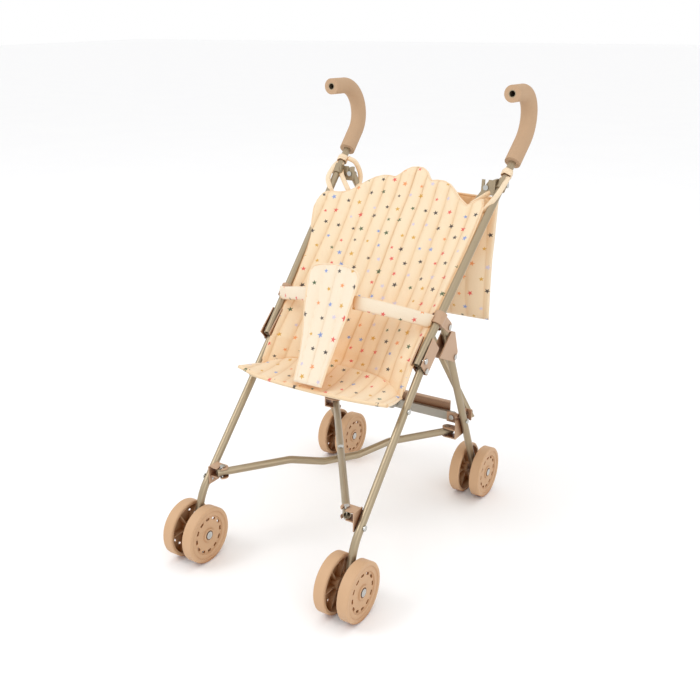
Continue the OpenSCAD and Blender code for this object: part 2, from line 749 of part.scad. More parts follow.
handle_tube(-1);  // handle_tube_left
handle_tube(1);  // handle_tube_right
grip(-1);  // grip_left
grip(1);  // grip_right
collar(-1);  // collar_left
collar(1);  // collar_right
top_bracket(-1);  // top_bracket_left
top_bracket(1);  // top_bracket_right
knee_bracket(-1);  // knee_bracket_left
knee_bracket(1);  // knee_bracket_right
front_leg(-1);  // front_leg_left
front_leg(1);  // front_leg_right
rear_leg(-1);  // rear_leg_left
rear_leg(1);  // rear_leg_right
gusset(-1);  // gusset_left
gusset(1);  // gusset_right
front_clevis(-1);  // front_clevis_left
front_clevis(1);  // front_clevis_right
rear_joint(-1);  // rear_joint_left
rear_joint(1);  // rear_joint_right
rivets(-1);  // rivets_left
rivets(1);  // rivets_right
axle(-1, front_axle);  // front_axle_left
axle(1, front_axle);  // front_axle_right
axle(-1, rear_axle);  // rear_axle_left
axle(1, rear_axle);  // rear_axle_right
wheel(-1, front_axle, 1);  // wheel_front_left_out
wheel(-1, front_axle, -1);  // wheel_front_left_in
wheel(1, front_axle, 1);  // wheel_front_right_out
wheel(1, front_axle, -1);  // wheel_front_right_in
wheel(-1, rear_axle, 1);  // wheel_rear_left_out
wheel(-1, rear_axle, -1);  // wheel_rear_left_in
wheel(1, rear_axle, 1);  // wheel_rear_right_out
wheel(1, rear_axle, -1);  // wheel_rear_right_in
back_tube(0);  // back_tube_front
back_tube(1);  // back_tube_rear
back_rivets_front();
back_rivets_rear();
lower_straight();  // lower_tube_straight
lower_bowed();  // lower_tube_bowed
lower_rivets_straight();
lower_rivets_bowed();
rear_bar_left();
rear_bar_right();
lock_plate();
bar_rivet_left();
bar_rivet_right();
seat();
front_panel();
waist_strap(-1);  // waist_strap_left
waist_strap(1);  // waist_strap_right
bag();
tie(-1);  // tie_left
tie(1);  // tie_right
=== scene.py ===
import math

import bpy
import numpy as np
from mathutils import Matrix, Vector


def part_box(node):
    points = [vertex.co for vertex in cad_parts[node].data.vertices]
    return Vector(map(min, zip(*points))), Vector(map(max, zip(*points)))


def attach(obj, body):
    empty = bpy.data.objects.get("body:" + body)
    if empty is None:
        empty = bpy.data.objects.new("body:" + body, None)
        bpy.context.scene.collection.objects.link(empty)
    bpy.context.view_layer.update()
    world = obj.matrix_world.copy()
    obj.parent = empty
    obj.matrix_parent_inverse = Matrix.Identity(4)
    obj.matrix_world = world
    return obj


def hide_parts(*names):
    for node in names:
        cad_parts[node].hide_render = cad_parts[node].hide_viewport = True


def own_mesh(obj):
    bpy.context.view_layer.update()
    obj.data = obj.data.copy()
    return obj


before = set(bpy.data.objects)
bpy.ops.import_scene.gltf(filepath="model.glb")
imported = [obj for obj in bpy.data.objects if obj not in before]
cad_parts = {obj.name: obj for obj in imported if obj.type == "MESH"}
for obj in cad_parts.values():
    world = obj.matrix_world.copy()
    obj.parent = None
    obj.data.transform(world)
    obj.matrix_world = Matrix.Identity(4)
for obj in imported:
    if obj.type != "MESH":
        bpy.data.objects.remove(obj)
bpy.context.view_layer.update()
MM = 0.001

# ---------------------------------------------------------------- places and sizes from the frame
seat_lo = np.array(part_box("seat")[0])
bag_lo, bag_hi = (np.array(p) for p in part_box("bag"))
Y0 = seat_lo[1] + 65.5 * MM          # the handle tube's lower end
Z0 = seat_lo[2] + 31 * MM
SIDE_X = 107.9                       # from the middle to a handle tube's lower end, in mm
H_ANGLE = math.radians(44.3)
LEAN = math.tan(math.radians(4.2))   # outward lean of the handle tubes
CHANNEL = 19.0                       # pitches of the stitched channels, in mm
BAG_CHANNEL = 23.5
PANEL_CHANNEL = 15.5
SHARP = math.radians(32)             # steeper edges than this stay sharp


def pt(x, dy, dz):
    """A point from millimetres across, behind and above the handle tube's lower end."""
    return np.array([x * MM, Y0 + dy * MM, Z0 + dz * MM])


def handle(s, side=1, out=0.0, up=0.0):
    """A point on the handle tube's axis, s mm from its lower end."""
    dy = s * math.cos(H_ANGLE) - up * math.sin(H_ANGLE)
    dz = s * math.sin(H_ANGLE) + up * math.cos(H_ANGLE)
    return pt(side * (SIDE_X + dz * LEAN + out), dy, dz)


# ---------------------------------------------------------------- materials
def lin(r, g, b):
    """A linear colour from 8-bit display values."""
    out = []
    for c in (r, g, b):
        c = c / 255
        out.append(c / 12.92 if c <= 0.04045 else ((c + 0.055) / 1.055) ** 2.4)
    return (*out, 1.0)


class Graph:
    """A node material with short calls for the nodes used here."""

    def __init__(self, name):
        self.mat = bpy.data.materials.new(name)
        self.mat.use_nodes = True
        self.tree = self.mat.node_tree
        self.tree.nodes.clear()
        self.out = self.tree.nodes.new("ShaderNodeOutputMaterial")
        self.bsdf = self.tree.nodes.new("ShaderNodeBsdfPrincipled")
        self.tree.links.new(self.bsdf.outputs[0], self.out.inputs[0])

    def put(self, socket, value):
        if isinstance(value, bpy.types.NodeSocket):
            self.tree.links.new(value, socket)
        elif value is not None:
            socket.default_value = value

    def node(self, kind, values=(), **props):
        n = self.tree.nodes.new(kind)
        for k, v in props.items():
            setattr(n, k, v)
        for k, v in dict(values).items():
            self.put(n.inputs[k], v)
        return n

    def math(self, op, a, b=None, c=None, clamp=False):
        n = self.node("ShaderNodeMath", operation=op, use_clamp=clamp)
        for i, v in enumerate((a, b, c)):
            if v is not None:
                self.put(n.inputs[i], v)
        return n.outputs[0]

    def mix(self, factor, a, b):
        n = self.node("ShaderNodeMix", data_type="RGBA")
        self.put(n.inputs[0], factor)
        self.put(n.inputs[6], a)
        self.put(n.inputs[7], b)
        return n.outputs[2]

    def noise(self, vector, scale, detail=3.0, rough=0.55):
        n = self.node("ShaderNodeTexNoise", {"Scale": scale, "Detail": detail, "Roughness": rough})
        self.put(n.inputs["Vector"], vector)
        return n.outputs[0]

    def ramp(self, factor, stops, interpolation="LINEAR"):
        n = self.node("ShaderNodeValToRGB")
        n.color_ramp.interpolation = interpolation
        while len(n.color_ramp.elements) < len(stops):
            n.color_ramp.elements.new(0.5)
        for e, (p, c) in zip(n.color_ramp.elements, stops):
            e.position = p
            e.color = c
        self.put(n.inputs[0], factor)
        return n.outputs[0]

    def bump(self, height, distance, strength=1.0, normal=None):
        n = self.node("ShaderNodeBump", {"Distance": distance, "Strength": strength})
        self.put(n.inputs["Height"], height)
        if normal is not None:
            self.put(n.inputs["Normal"], normal)
        return n.outputs[0]

    def finish(self, **inputs):
        for k, v in inputs.items():
            self.put(self.bsdf.inputs[k.replace("_", " ")], v)
        return self.mat


STAR_COLOURS = [
    (45, 42, 50), (222, 84, 80), (62, 92, 60), (212, 162, 62), (233, 150, 92),
    (222, 84, 80), (122, 150, 208), (212, 162, 62), (45, 42, 50), (206, 196, 216),
]


def star_mask(g, u, v, fine, colour, seed):
    """Small five-pointed stars over the cloth colour, one in each cell of a staggered grid."""
    pitch = 19.0
    row = g.math("FLOOR", g.math("DIVIDE", v, pitch))
    shift = g.math("MULTIPLY", g.math("MODULO", row, 2.0), 0.5)
    px = g.math("ADD", g.math("DIVIDE", u, pitch), shift)
    col = g.math("FLOOR", px)
    cell = g.node("ShaderNodeCombineXYZ")
    for i, s in enumerate((col, row)):
        g.put(cell.inputs[i], s)
    cell.inputs[2].default_value = 3.7 + seed
    rnd = g.node("ShaderNodeTexWhiteNoise", noise_dimensions="3D")
    g.put(rnd.inputs["Vector"], cell.outputs[0])
    rgb = g.node("ShaderNodeSeparateColor")
    g.put(rgb.inputs[0], rnd.outputs["Color"])
    jitter_x = g.math("MULTIPLY", g.math("SUBTRACT", rgb.outputs[0], 0.5), 7.5)
    jitter_y = g.math("MULTIPLY", g.math("SUBTRACT", rgb.outputs[1], 0.5), 7.5)
    local_x = g.math("MULTIPLY", g.math("SUBTRACT", g.math("SUBTRACT", px, col), 0.5), pitch)
    local_y = g.math("SUBTRACT", g.math("SUBTRACT", v, g.math("MULTIPLY", row, pitch)), pitch / 2)
    x = g.math("ADD", local_x, jitter_x)
    y = g.math("ADD", local_y, jitter_y)
    angle = g.math("MULTIPLY_ADD", rgb.outputs[2], 6.283, g.math("ARCTAN2", y, x))
    radius = g.math("SQRT", g.math("ADD", g.math("MULTIPLY", x, x), g.math("MULTIPLY", y, y)))
    phi = g.math("PINGPONG", angle, math.pi / 5)
    pointed = g.math("ADD", g.math("COSINE", phi), g.math("MULTIPLY", g.math("SINE", phi), 2.7))
    edge = g.math("MULTIPLY", radius, pointed)
    size = g.math("MULTIPLY_ADD", rnd.outputs["Value"], 1.5, 2.7)
    mask = g.math("MULTIPLY_ADD", g.math("SUBTRACT", size, edge), 2.0, 0.5, clamp=True)
    pick = g.node("ShaderNodeTexWhiteNoise", noise_dimensions="3D")
    moved = g.node("ShaderNodeVectorMath", operation="ADD")
    g.put(moved.inputs[0], cell.outputs[0])
    moved.inputs[1].default_value = (17.3, 5.1, 9.9)
    g.put(pick.inputs["Vector"], moved.outputs[0])
    n = len(STAR_COLOURS)
    stops = [(i / n, lin(*c)) for i, c in enumerate(STAR_COLOURS)]
    star = g.ramp(pick.outputs["Value"], stops, "CONSTANT")
    worn = g.math("MULTIPLY", mask, g.math("MULTIPLY_ADD", fine, 0.3, 0.78, clamp=True))
    return g.mix(worn, colour, star)


def cloth(name, base, shade, seed=0.0, stars=True, seam=0.0):
    """Woven cloth in millimetres of its own flat sheet, with stitched channels, stars, painted shade
    along the channel seams and painted shade in hollows.
    """
    g = Graph(name)
    uv = g.node("ShaderNodeUVMap", uv_map="cloth").outputs[0]
    mm = g.node("ShaderNodeVectorMath", operation="SCALE")
    g.put(mm.inputs[0], uv)
    mm.inputs["Scale"].default_value = 1000.0
    sep = g.node("ShaderNodeSeparateXYZ")
    g.put(sep.inputs[0], mm.outputs[0])
    u, v = sep.outputs[0], sep.outputs[1]
    fine = g.noise(mm.outputs[0], 0.55, 4.0, 0.7)
    broad = g.noise(mm.outputs[0], 0.02, 3.0)
    fleck = g.noise(mm.outputs[0], 0.9, 1.0)
    colour = g.mix(g.math("MULTIPLY", broad, 0.5), lin(*base), lin(*shade))
    speck = g.math("MULTIPLY", g.math("SUBTRACT", fleck, 0.66), 9.0, clamp=True)
    colour = g.mix(g.math("MULTIPLY", speck, 0.5), colour, lin(214, 180, 140))
    thread = g.math("MULTIPLY", g.math("SINE", g.math("MULTIPLY", u, 6.2)),
                    g.math("SINE", g.math("MULTIPLY", v, 6.2)))
    colour = g.mix(g.math("MULTIPLY_ADD", thread, 0.04, 0.05), colour, lin(*shade))
    line = None
    # Painted shade: the colour darkens towards each channel seam and is darkest in the seam's crease;
    # the crease mask line also shapes the stitch bump.
    if seam:
        place = g.math("FRACT", g.math("DIVIDE", g.math("SUBTRACT", u, 500.0), seam))
        off = g.math("ABSOLUTE", g.math("SUBTRACT", place, 0.5))
        line = g.math("MULTIPLY_ADD", off, seam, 1 - 0.5 * seam, clamp=True)
        painted_channel_shade = g.math("MULTIPLY", g.math("POWER", off, 3.0), 8.0)
        colour = g.mix(g.math("MULTIPLY", painted_channel_shade, 0.34), colour, lin(228, 192, 144))
        colour = g.mix(g.math("MULTIPLY", line, 0.24), colour, lin(214, 166, 112))
    if stars:
        colour = star_mask(g, u, v, fine, colour, seed)
    # Painted shade: ambient occlusion darkens the cloth with a warm tint in folds, creases and where
    # parts come close.
    ao = g.node("ShaderNodeAmbientOcclusion", {"Distance": 0.09}, samples=8)
    painted_shade = g.math("MULTIPLY", g.math("SUBTRACT", 1.0, ao.outputs["AO"]), 1.25, clamp=True)
    painted_shade_tint = g.node("ShaderNodeMix", data_type="RGBA", blend_type="MULTIPLY")
    g.put(painted_shade_tint.inputs[0], painted_shade)
    g.put(painted_shade_tint.inputs[6], colour)
    g.put(painted_shade_tint.inputs[7], lin(250, 204, 146))
    crinkle = g.noise(mm.outputs[0], 0.11, 5.0, 0.62)
    n1 = g.bump(crinkle, 0.0012, 0.55)
    n2 = g.bump(g.math("ADD", thread, g.math("MULTIPLY", fine, 1.6)), 0.00025, 0.5, n1)
    if line is not None:
        dash = g.math("GREATER_THAN", g.math("SINE", g.math("MULTIPLY", v, 2.1)), -0.4)
        n2 = g.bump(g.math("MULTIPLY", line, dash), 0.0004, 0.8, n2)
    rough = g.math("MULTIPLY_ADD", fine, 0.12, 0.82)
    return g.finish(Base_Color=painted_shade_tint.outputs[2], Roughness=rough, Normal=n2,
                    Sheen_Weight=0.25, Sheen_Roughness=0.5, Specular_IOR_Level=0.25)


def metal(name, base, rough=0.36, metallic=0.75, worn=(222, 214, 196)):
    """Painted or bright metal with a fine grain and light wear."""
    g = Graph(name)
    co = g.node("ShaderNodeTexCoord").outputs["Object"]
    n = g.noise(co, 900.0, 3.0)
    big = g.noise(co, 28.0, 4.0)
    scratch = g.noise(co, 260.0, 6.0, 0.75)
    mark = g.math("MULTIPLY", g.math("SUBTRACT", scratch, 0.64), 6.0, clamp=True)
    colour = g.mix(g.math("MULTIPLY", big, 0.35), lin(*base), lin(*(c * 0.9 for c in base)))
    colour = g.mix(g.math("MULTIPLY", mark, 0.35), colour, lin(*worn))
    normal = g.bump(n, 0.00006, 0.35)
    r = g.math("MULTIPLY_ADD", big, 0.16, rough - 0.08)
    return g.finish(Base_Color=colour, Metallic=metallic, Roughness=r, Normal=normal)


def moulded(name, base, deep, rough=0.5, grain=0.5, spec=0.4):
    """Moulded or painted pieces, with painted shade in the colour deep in their hollows."""
    g = Graph(name)
    co = g.node("ShaderNodeTexCoord").outputs["Object"]
    n = g.noise(co, 1500.0, 2.0)
    big = g.noise(co, 35.0, 4.0)
    # Painted shade: ambient occlusion mixes in the colour deep where the surface is hollow or hidden.
    ao = g.node("ShaderNodeAmbientOcclusion", {"Distance": 0.012}, samples=8)
    painted_shade = g.math("MULTIPLY", g.math("SUBTRACT", 1.0, ao.outputs["AO"]), 1.5, clamp=True)
    colour = g.mix(g.math("MULTIPLY", big, 0.4), lin(*base), lin(*(c * 0.94 for c in base)))
    colour = g.mix(painted_shade, colour, lin(*deep))
    normal = g.bump(n, 0.00012, grain)
    r = g.math("MULTIPLY_ADD", big, 0.14, rough - 0.07)
    return g.finish(Base_Color=colour, Roughness=r, Normal=normal, Specular_IOR_Level=spec)


def foam(name):
    """Matt foam with fine open cells."""
    g = Graph(name)
    co = g.node("ShaderNodeTexCoord").outputs["Object"]
    cells = g.node("ShaderNodeTexVoronoi", {"Scale": 900.0})
    g.put(cells.inputs["Vector"], co)
    big = g.noise(co, 30.0, 4.0)
    colour = g.mix(g.math("MULTIPLY", big, 0.5), lin(190, 160, 130), lin(180, 148, 118))
    colour = g.mix(g.math("MULTIPLY", cells.outputs["Distance"], 0.25), colour, lin(164, 132, 102))
    normal = g.bump(cells.outputs["Distance"], 0.0003, 0.55)
    return g.finish(Base_Color=colour, Roughness=0.85, Normal=normal, Specular_IOR_Level=0.25)


CLOTH = cloth("star_cloth", (238, 219, 189), (236, 210, 172), seam=CHANNEL)
CLOTH_BAG = cloth("star_cloth_bag", (237, 216, 186), (232, 205, 168), seed=2.0, seam=BAG_CHANNEL)
CLOTH_LIGHT = cloth("star_cloth_light", (238, 224, 202), (234, 215, 187), seed=4.0)
CLOTH_PLAIN = cloth("cloth_binding", (238, 219, 190), (232, 206, 170), stars=False)
CLOTH_BACK = cloth("cloth_plain", (238, 220, 192), (234, 210, 176), stars=False)
# Inner faces of the bag: a tan lining colour, darkened to brown as painted shade for the shadowed
# inside of the bag.
LINING_PAINTED_SHADE = cloth("cloth_lining_painted_shade", (206, 150, 98), (186, 126, 76), stars=False)
TUBE = metal("tube_champagne", (168, 152, 126))
BAR = metal("bar_grey", (172, 168, 158), 0.34)
RIVET = metal("rivet_bright", (196, 196, 192), 0.22, 1.0)
# The second colour of the bracket and wheel materials is painted shade for their hollows.
BRACKET = moulded("bracket_tan", (184, 150, 120), (112, 62, 28), 0.42, 0.3, 0.5)
WHEEL = moulded("wheel_peach", (199, 161, 124), (150, 90, 34), 0.55, 0.5)
FOAM = foam("grip_foam")

RULES = [
    ("handle_tube", TUBE), ("front_leg", TUBE), ("rear_leg", TUBE), ("back_tube", TUBE),
    ("lower_tube", TUBE), ("top_bracket", TUBE), ("rear_bar", BAR), ("grip", FOAM), ("wheel", WHEEL),
    ("rivets", RIVET), ("back_rivets", RIVET), ("lower_rivets", RIVET), ("bar_rivet", RIVET),
    ("front_axle", RIVET), ("rear_axle", RIVET),
]
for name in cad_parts:
    obj = bpy.data.objects.get(name)
    if obj is None or obj.type != "MESH":
        continue
    material = next((m for key, m in RULES if name.startswith(key)), BRACKET)
    obj.data.materials.clear()
    obj.data.materials.append(material)
    if material in (TUBE, FOAM, WHEEL, RIVET):
        obj.data.set_sharp_from_angle(angle=SHARP)


# ---------------------------------------------------------------- mesh helpers
def smoothstep(a, b, x):
    t = np.clip((x - a) / (b - a), 0, 1)
    return t * t * (3 - 2 * t)


def quilt(x, pitch, power=2):
    """Height of stitched channels across x, from 0 on a seam to 1 between seams."""
    seam = np.abs(((x / pitch) % 1) - 0.5) * 2
    return np.sqrt(np.clip(1 - seam ** power, 0, 1))


def normals(P):
    du = np.gradient(P, axis=0)
    dv = np.gradient(P, axis=1)
    n = np.cross(du, dv)
    return n / np.maximum(np.linalg.norm(n, axis=2, keepdims=True), 1e-12)


def add_object(name, verts, faces, uvs, materials, face_mat=None, smooth=True):
    mesh = bpy.data.meshes.new(name)
    mesh.from_pydata([tuple(map(float, v)) for v in verts], [], faces)
    layer = mesh.uv_layers.new(name="cloth")
    loops = np.array([uvs[v] for f in faces for v in f], dtype=np.float32)
    layer.data.foreach_set("uv", loops.ravel())
    for m in materials:
        mesh.materials.append(m)
    if face_mat is not None:
        mesh.polygons.foreach_set("material_index", face_mat)
    mesh.polygons.foreach_set("use_smooth", [smooth] * len(faces))
    mesh.update()
    mesh.validate()
    obj = bpy.data.objects.new(name, mesh)
    bpy.context.scene.collection.objects.link(obj)
    return obj


def shell(name, P, thick, uv, materials, puff=None, origin=(0, 0)):
    """A closed sheet with round edges from a grid of points; thick and puff are in metres."""
    nu, nv = P.shape[:2]
    N = normals(P)
    t = np.full((nu, nv), thick / 2) if np.isscalar(thick) else thick / 2
    edge = np.ones((nu, nv))
    edge[0, :] = edge[-1, :] = edge[:, 0] = edge[:, -1] = 0.45
    t = t * edge
    extra = np.zeros((nu, nv)) if puff is None else puff * (edge > 0.9)
    top = P + N * (t + extra)[..., None]
    bottom = P - N * (t + extra * 0.6)[..., None]
    verts = np.concatenate([top.reshape(-1, 3), bottom.reshape(-1, 3)])
    uvs = np.concatenate([uv.reshape(-1, 2), uv.reshape(-1, 2)])
    k = nu * nv
    idx = np.arange(k).reshape(nu, nv)
    faces, mats = [], []
    for i in range(nu - 1):
        for j in range(nv - 1):
            a, b, c, d = idx[i, j], idx[i + 1, j], idx[i + 1, j + 1], idx[i, j + 1]
            faces.append((int(a), int(b), int(c), int(d)))
            mats.append(0)
            faces.append((int(d + k), int(c + k), int(b + k), int(a + k)))
            mats.append(len(materials) - 1)
    ring = list(idx[:, 0]) + list(idx[-1, 1:]) + list(idx[-2::-1, -1]) + list(idx[0, -2:0:-1])
    for a, b in zip(ring, ring[1:] + ring[:1]):
        faces.append((int(b), int(a), int(a + k), int(b + k)))
        mats.append(0)
    return add_object(name, verts, faces, uvs, materials, mats)


def sweep(name, path, radius, material, flat=1.0, sides=10, closed=False, up=None):
    """A tube or flat strap along points; flat narrows it along its second axis."""
    path = np.array(path, float)
    n = len(path)
    if closed:
        tan = np.roll(path, -1, 0) - np.roll(path, 1, 0)
    else:
        tan = np.gradient(path, axis=0)
    tan /= np.linalg.norm(tan, axis=1, keepdims=True)
    ref = np.array(up if up is not None else (0.13, 0.21, 0.97), float)
    side = np.cross(tan, ref)
    side /= np.linalg.norm(side, axis=1, keepdims=True)
    upv = np.cross(side, tan)
    length = np.concatenate([[0], np.cumsum(np.linalg.norm(np.diff(path, axis=0), axis=1))])
    rr = np.full(n, radius) if np.isscalar(radius) else np.array(radius)
    verts, uvs = [], []
    for i in range(n):
        for k in range(sides):
            a = 2 * math.pi * k / sides
            verts.append(path[i] + rr[i] * (math.cos(a) * side[i] + flat * math.sin(a) * upv[i]))
            uvs.append((rr[i] * 2 * k / sides + 0.31, length[i]))
    faces = []
    last = n if closed else n - 1
    for i in range(last):
        for k in range(sides):
            a, b = i * sides + k, i * sides + (k + 1) % sides
            c, d = ((i + 1) % n) * sides + (k + 1) % sides, ((i + 1) % n) * sides + k
            faces.append((a, b, c, d))
    if not closed:
        faces.append(tuple(range(sides - 1, -1, -1)))
        faces.append(tuple((n - 1) * sides + k for k in range(sides)))
    return add_object(name, verts, faces, uvs, [material])


def smooth_path(points, n):
    """Catmull-Rom through the points."""
    p = np.array(points, float)
    p = np.concatenate([[2 * p[0] - p[1]], p, [2 * p[-1] - p[-2]]])
    out = []
    spans = len(p) - 3
    for t in np.linspace(0, spans - 1e-9, n):
        i = int(t)
        f = t - i
        a, b, c, d = p[i], p[i + 1], p[i + 2], p[i + 3]
        out.append(0.5 * (2 * b + (c - a) * f + (2 * a - 5 * b + 4 * c - d) * f * f
                          + (3 * b - a - 3 * c + d) * f ** 3))
    return np.array(out)


def soft(obj, *nodes, body="frame_left", fold=True):
    """Cloth that rides on a body; the frame parts in nodes are hidden, and with fold it gets its own
    copy of its mesh.
    """
    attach(obj, body)
    if nodes:
        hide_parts(*nodes)
    if fold:
        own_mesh(obj)
    return obj


def drape(P, pinned, cap, frames=20, pull=(0, 0, -1.0)):
    """Cloth simulation of a grid; pinned is a weight per point, and cap is the furthest move."""
    nu, nv = P.shape[:2]
    idx = np.arange(nu * nv).reshape(nu, nv)
    faces = [(int(idx[i, j]), int(idx[i + 1, j]), int(idx[i + 1, j + 1]), int(idx[i, j + 1]))
             for i in range(nu - 1) for j in range(nv - 1)]
    mesh = bpy.data.meshes.new("drape")
    mesh.from_pydata([tuple(map(float, v)) for v in P.reshape(-1, 3)], [], faces)
    obj = bpy.data.objects.new("drape", mesh)
    bpy.context.scene.collection.objects.link(obj)
    group = obj.vertex_groups.new(name="pin")
    flat = pinned.reshape(-1)
    for i in range(nu * nv):
        if flat[i] > 0:
            group.add([i], float(flat[i]), "REPLACE")
    mod = obj.modifiers.new("cloth", "CLOTH")
    s = mod.settings
    s.quality = 6
    s.mass = 0.25
    s.tension_stiffness = s.compression_stiffness = 25
    s.shear_stiffness = 8
    s.bending_stiffness = 0.3
    s.vertex_group_mass = "pin"
    s.effector_weights.gravity = 0.35
    mod.point_cache.frame_start = 1
    mod.point_cache.frame_end = frames
    scene = bpy.context.scene
    for f in range(1, frames + 1):
        scene.frame_set(f)
    evaluated = obj.evaluated_get(bpy.context.evaluated_depsgraph_get())
    co = np.array([v.co for v in evaluated.data.vertices], float).reshape(nu, nv, 3)
    scene.frame_set(1)
    bpy.data.objects.remove(obj)
    bpy.data.meshes.remove(mesh)
    move = co - P
    far = np.linalg.norm(move, axis=2, keepdims=True)
    return P + move * np.minimum(1, cap / np.maximum(far, 1e-9))


def wrinkle(shape, x, y, amp, seed):
    """Smooth seeded undulation over coordinates in metres."""
    r = np.random.default_rng(seed)
    out = np.zeros(shape)
    for _ in range(10):
        k = r.uniform(25, 110)
        a = r.uniform(0, 2 * math.pi)
        wave = k * (x * math.cos(a) + y * math.sin(a)) + r.uniform(0, 6.3)
        out += math.exp(-k / 80) * np.sin(wave)
    return out * amp / 3


# ---------------------------------------------------------------- seat back
BACK_U, BACK_V = 177, 90
TOP_X = [-128, -126.5, -123, -117, -110, -100, -92, -85, -75, -65, -55, -45, -35, -27, -23, -16, -8, 0,
         8, 16, 23, 27, 35, 45, 55, 65, 75, 85, 88, 92, 97, 102, 106, 109, 111]
TOP_Z = [139, 146, 152.5, 156, 156.8, 157.5, 159, 161, 167, 174, 179, 182, 182.5, 181.5, 184, 190.5,
         194.3, 195, 194.3, 190.5, 184, 181.5, 182.5, 182, 179, 173, 166, 160.5, 159, 160, 163, 165.5,
         166, 162, 156]
EDGE_Z = [-40, 0, 60, 92, 108, 122, 136, 160]
EDGE_LEFT = [-6.5, -6, -6, -5.5, -2.5, 2.5, 7, 9]
EDGE_RIGHT = [-6.5, -6, -5.5, -5.6, -5.6, -6, -6.5, -9]
FRONT_LEFT = [-2, -2, -2, 0, 3.5, 6.5, 8.5, 9]
FRONT_RIGHT = [-2, -1, 0, 0.5, 1, 1.5, 2, 3]


def back_grid():
    """The back sheet: across from left to right, then up from the crease to the scalloped top."""
    u = np.linspace(-1, 1, BACK_U)[:, None]
    t = np.linspace(0, 1, BACK_V)[None, :]
    top = np.interp(np.where(u < 0, u * 128, u * 111), TOP_X, TOP_Z)
    low = -21.5 - 14 * np.abs(u) ** 3.5
    z = low + (top - low) * t
    axis_x = SIDE_X + np.maximum(z, 0) * LEAN
    edge = np.where(u < 0, np.interp(z, EDGE_Z, EDGE_LEFT), np.interp(z, EDGE_Z, EDGE_RIGHT))
    forward = np.where(u < 0, np.interp(z, EDGE_Z, FRONT_LEFT), np.interp(z, EDGE_Z, FRONT_RIGHT))
    x = u * (axis_x + edge)
    plane = np.where(z > 0, z / math.tan(H_ANGLE), z * 0.75)
    ride = smoothstep(0.62, 1.0, np.abs(u))
    deep = 13 * (1 - smoothstep(-20, 150, z)) + 8 * np.exp(-((z - 60) / 60) ** 2)
    behind = deep * (1 - ride) - 5.0 * smoothstep(60, 190, z) * (1 - ride) - forward * ride
    y = plane + behind * 0.698
    centre_low = smoothstep(40, -25, z) * (1 - np.abs(u) ** 2.5)
    y = y + centre_low * 4.0
    zz = z - behind * 0.716 * 0.4
    return np.stack([x * MM, Y0 + y * MM, Z0 + zz * MM], -1), x, z


P, bx, bz = back_grid()
pin = np.zeros(P.shape[:2])
pin[0, :] = pin[-1, :] = 1
pin[1, :] = pin[-2, :] = 0.8
pin[:, 0] = 1
pin[:6, -1] = pin[-6:, -1] = 1
pin = np.maximum(pin, 0.35 * smoothstep(0.9, 1.0, np.linspace(0, 1, BACK_V))[None, :])
P = drape(P, pin, 7 * MM)
fade = 0.35 + 0.65 * smoothstep(0.0, 0.06, np.linspace(0, 1, BACK_V))[None, :]
uv = np.stack([bx * MM + 0.5, bz * MM * 1.42 + 0.5], -1)
puff = (quilt(bx, CHANNEL) * 2.3 * MM + wrinkle(bx.shape, bx * MM, bz * MM, 0.9 * MM, 3)) * fade
back = shell("seat_back", P, 2.2 * MM, uv, [CLOTH, CLOTH_BACK], puff)
soft(back, "seat")

# the binding along the scalloped top and the sides
rim = np.concatenate([P[0, 4:], P[:, -1], P[-1, ::-1][:-4]])
binding = sweep("seat_binding", rim[::2], 1.5 * MM, CLOTH_PLAIN, flat=0.8, sides=8)
soft(binding)

# ---------------------------------------------------------------- seat pan
PAN_U, PAN_V = 121, 40


def pan_grid():
    """The sagging seat pan, from its front hem to the crease."""
    u = np.linspace(-1, 1, PAN_U)[:, None]
    t = np.linspace(0, 1, PAN_V)[None, :]
    half = 105 - 4.5 * smoothstep(0.3, 1, t)
    x = u * half
    front = -66 + 3.5 * np.abs(u) ** 3
    rear = -2.0 - 20 * np.abs(u) ** 4
    y = front + (rear - front) * t
    rear_z = -22 - 13 * np.abs(u) ** 3.5
    front_z = -29 - 3.5 * (1 - u ** 2) + 4.0 * smoothstep(0.72, 1, -u)
    z = front_z + (rear_z - front_z) * t - 3.2 * np.sin(math.pi * t) * (1 - u ** 4)
    return np.stack([x * MM, Y0 + y * MM, Z0 + z * MM], -1), x, y


P, px, py = pan_grid()
pin = np.zeros(P.shape[:2])
pin[:, 0] = pin[:, -1] = 1
pin[0, :] = pin[-1, :] = 1
P = drape(P, pin, 5 * MM)
uv = np.stack([px * MM + 0.5, py * MM + 1.9], -1)
folds = 1.1 * MM * np.sin(px * 0.16 + py * 0.12) * smoothstep(20, 95, px) * smoothstep(-50, -15, py)
puff = quilt(px, CHANNEL) * 1.8 * MM + wrinkle(px.shape, px * MM, py * MM, 0.9 * MM, 5) + folds * 0.6
pan = shell("seat_pan", P, 2.4 * MM, uv, [CLOTH, CLOTH_BACK], puff)
soft(pan)
front_edge = P[:, 0]
hem = sweep("seat_hem", front_edge, 2.6 * MM, CLOTH, flat=0.85, sides=12, up=(0, 0, 1))
soft(hem)
crease = sweep("seat_crease", P[3:-3, -1], 1.3 * MM, CLOTH_PLAIN, sides=8, up=(0, 0, 1))
soft(crease)
for k, side in enumerate((0, -1)):
    sidehem = sweep(("seat_side_left", "seat_side_right")[k], P[side, :], 1.6 * MM, CLOTH_PLAIN,
                    sides=8, up=(0, 0, 1))
    soft(sidehem)

# ---------------------------------------------------------------- front panel
PANEL_U, PANEL_V = 41, 70
PANEL_T = [0, 0.2, 0.39, 0.6, 0.77, 0.86, 0.93, 0.96, 0.985, 1.0]
PANEL_W = [19, 20.5, 24, 29.5, 32.5, 33.5, 33.5, 32.5, 30.5, 27]
base = pt(0, -67.5, -24.5)
tip = pt(0, 0.5, 104)
along = tip - base
panel_len = np.linalg.norm(along)
along = along / panel_len
face = np.cross(np.array([1.0, 0, 0]), along)


